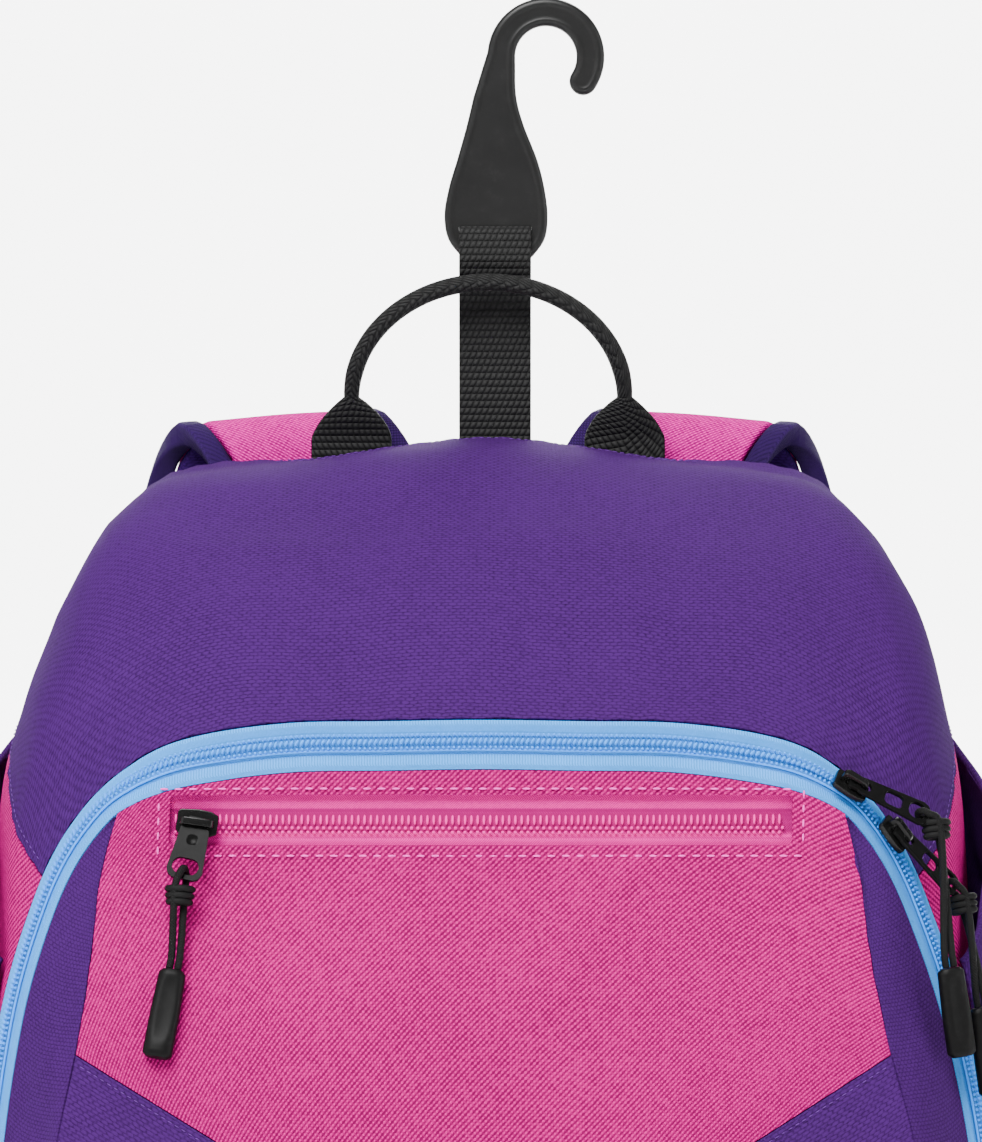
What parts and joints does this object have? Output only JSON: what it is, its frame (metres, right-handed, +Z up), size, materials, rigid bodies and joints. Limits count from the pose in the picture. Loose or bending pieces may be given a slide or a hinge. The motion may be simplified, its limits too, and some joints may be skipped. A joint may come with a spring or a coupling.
{
  "type": "baseball bat backpack",
  "caption": "A purple and pink baseball bat backpack with a pale blue flap zip, bat sleeves on its sides, a carry handle, shoulder straps and a black fence hook.",
  "frame": {"origin": "on the ground under the middle of the bag's outline", "axes": "+Z up, -Y out of the flap, +X to the right of someone who faces the flap"},
  "size_m": [0.3584, 0.2306, 0.6217],
  "materials": {
    "purple_cloth": "fine woven cloth",
    "pink_cloth": "coarse woven cloth",
    "strap_pink": "coarse woven cloth",
    "blue_tape": "zip tape",
    "blue_coil": "moulded coil",
    "pink_tape": "zip tape",
    "pink_coil": "moulded coil",
    "black_webbing": "ribbed webbing",
    "black_plastic": "satin",
    "black_metal": "semi-gloss",
    "black_rubber": "matte"
  },
  "bodies": {
    "root": {"top_panel": "purple_cloth", "side_panel_left": "pink_cloth", "side_panel_right": "pink_cloth", "back_panel": "purple_cloth", "base_panel": "purple_cloth", "flap_zip_tape": "blue_tape", "flap_zip_coil": "blue_coil", "flap_panel_upper": "pink_cloth", "flap_panel_lower": "purple_cloth", "flap_gusset_left": "purple_cloth", "flap_gusset_right": "purple_cloth", "pocket_zip_tape": "pink_tape", "pocket_zip_coil": "pink_coil", "bat_sleeve_left": "purple_cloth", "bat_sleeve_right": "purple_cloth", "fence_hook": "black_plastic", "hook_strap": "black_webbing", "carry_handle": "black_webbing", "shoulder_strap_left": "strap_pink", "shoulder_strap_right": "strap_pink", "strap_binding_left": "purple_cloth", "strap_binding_right": "purple_cloth", "strap_adjuster_left": "black_plastic", "strap_adjuster_right": "black_plastic", "strap_webbing_left": "black_webbing", "strap_webbing_right": "black_webbing", "pocket_pull_slider": "black_metal", "pocket_pull_tab": "black_metal", "pocket_pull_cord": "black_webbing", "pocket_pull_grip": "black_rubber", "flap_pull_upper_slider": "black_metal", "flap_pull_upper_tab": "black_metal", "flap_pull_upper_cord": "black_webbing", "flap_pull_upper_grip": "black_rubber", "flap_pull_lower_slider": "black_metal", "flap_pull_lower_tab": "black_metal", "flap_pull_lower_cord": "black_webbing", "flap_pull_lower_grip": "black_rubber"}
  },
  "joints": []
}
